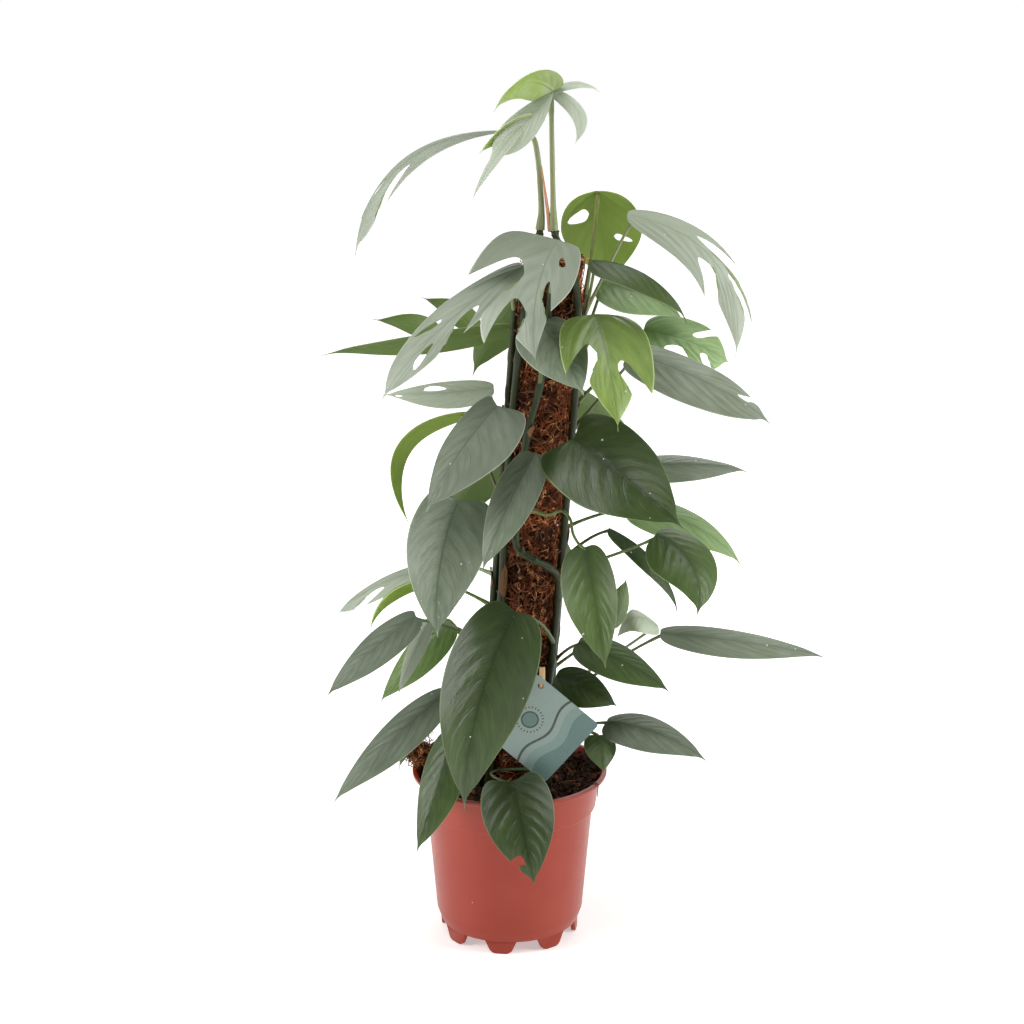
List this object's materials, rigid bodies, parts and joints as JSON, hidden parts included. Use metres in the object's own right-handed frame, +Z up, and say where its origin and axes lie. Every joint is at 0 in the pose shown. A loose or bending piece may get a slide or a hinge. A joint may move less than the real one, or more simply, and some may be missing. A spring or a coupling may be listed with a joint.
{
  "type": "potted climbing plant",
  "caption": "Potted climbing vine with silvery split leaves on a coir pole, in a red nursery pot with a plain tag.",
  "frame": {"origin": "on the ground, on the axis of the pot", "axes": "+Z up along the pole, -Y towards the viewer of the picture, +X to the viewer's right"},
  "size_m": [0.4372, 0.2533, 0.7521],
  "materials": {
    "pot_plastic": "semi-matte moulded plastic",
    "coir": "coarse loose fibre",
    "vine_green": "living stem, slightly glossy",
    "leaf_silver": "living leaf, soft gloss",
    "leaf_grey": "living leaf, soft gloss",
    "leaf_green": "living leaf, soft gloss",
    "leaf_dark": "living leaf, soft gloss",
    "leaf_bright": "living leaf, soft gloss",
    "leaf_light": "living leaf, soft gloss",
    "tag_card": "matt printed card",
    "tag_wood": "bare planed wood",
    "soil": "loose coarse potting mix"
  },
  "bodies": {
    "root": {"pot": "pot_plastic", "coir_pole": "coir", "vine_left": "vine_green", "vine_front_left": "vine_green", "vine_crossing": "vine_green", "vine_front_right": "vine_green", "vine_right": "vine_green", "vine_back": "vine_green", "leaf_crown_split": "leaf_silver", "leaf_crown_left": "leaf_silver", "leaf_crown_round": "leaf_bright", "leaf_crown_right": "leaf_silver", "leaf_front_fingered": "leaf_silver", "leaf_left_fingered": "leaf_silver", "leaf_left_shadow": "leaf_green", "leaf_left_level": "leaf_silver", "leaf_behind_front": "leaf_grey", "leaf_bright_lobed": "leaf_bright", "leaf_right_folded": "leaf_dark", "leaf_right_pale": "leaf_light", "leaf_right_slit": "leaf_light", "leaf_right_long": "leaf_grey", "leaf_big_heart": "leaf_dark", "leaf_right_grey": "leaf_grey", "leaf_right_light": "leaf_light", "leaf_pair_dark": "leaf_dark", "leaf_pair_round": "leaf_dark", "leaf_centre_green": "leaf_green", "leaf_centre_grey": "leaf_grey", "leaf_left_silver": "leaf_grey", "leaf_left_sickle": "leaf_bright", "leaf_left_narrow": "leaf_grey", "leaf_left_big": "leaf_grey", "leaf_left_forked": "leaf_silver", "leaf_left_bright": "leaf_bright", "leaf_left_low": "leaf_green", "leaf_left_hanging": "leaf_silver", "leaf_left_curled": "leaf_green", "leaf_front_large": "leaf_green", "leaf_left_long": "leaf_grey", "leaf_rim_left": "leaf_green", "leaf_rim_front": "leaf_dark", "leaf_rim_back_left": "leaf_dark", "leaf_low_dark": "leaf_dark", "leaf_low_right": "leaf_green", "leaf_low_small": "leaf_green", "leaf_mid_right": "leaf_dark", "leaf_small_upright": "leaf_green", "leaf_small_pale": "leaf_light", "leaf_far_right": "leaf_grey", "leaf_back_upper": "leaf_green", "leaf_back_right": "leaf_green", "leaf_back_left": "leaf_dark", "leaf_back_middle": "leaf_green", "leaf_back_low": "leaf_dark", "tag_card": "tag_card", "tag_stick": "tag_wood", "soil": "soil"}
  },
  "joints": []
}
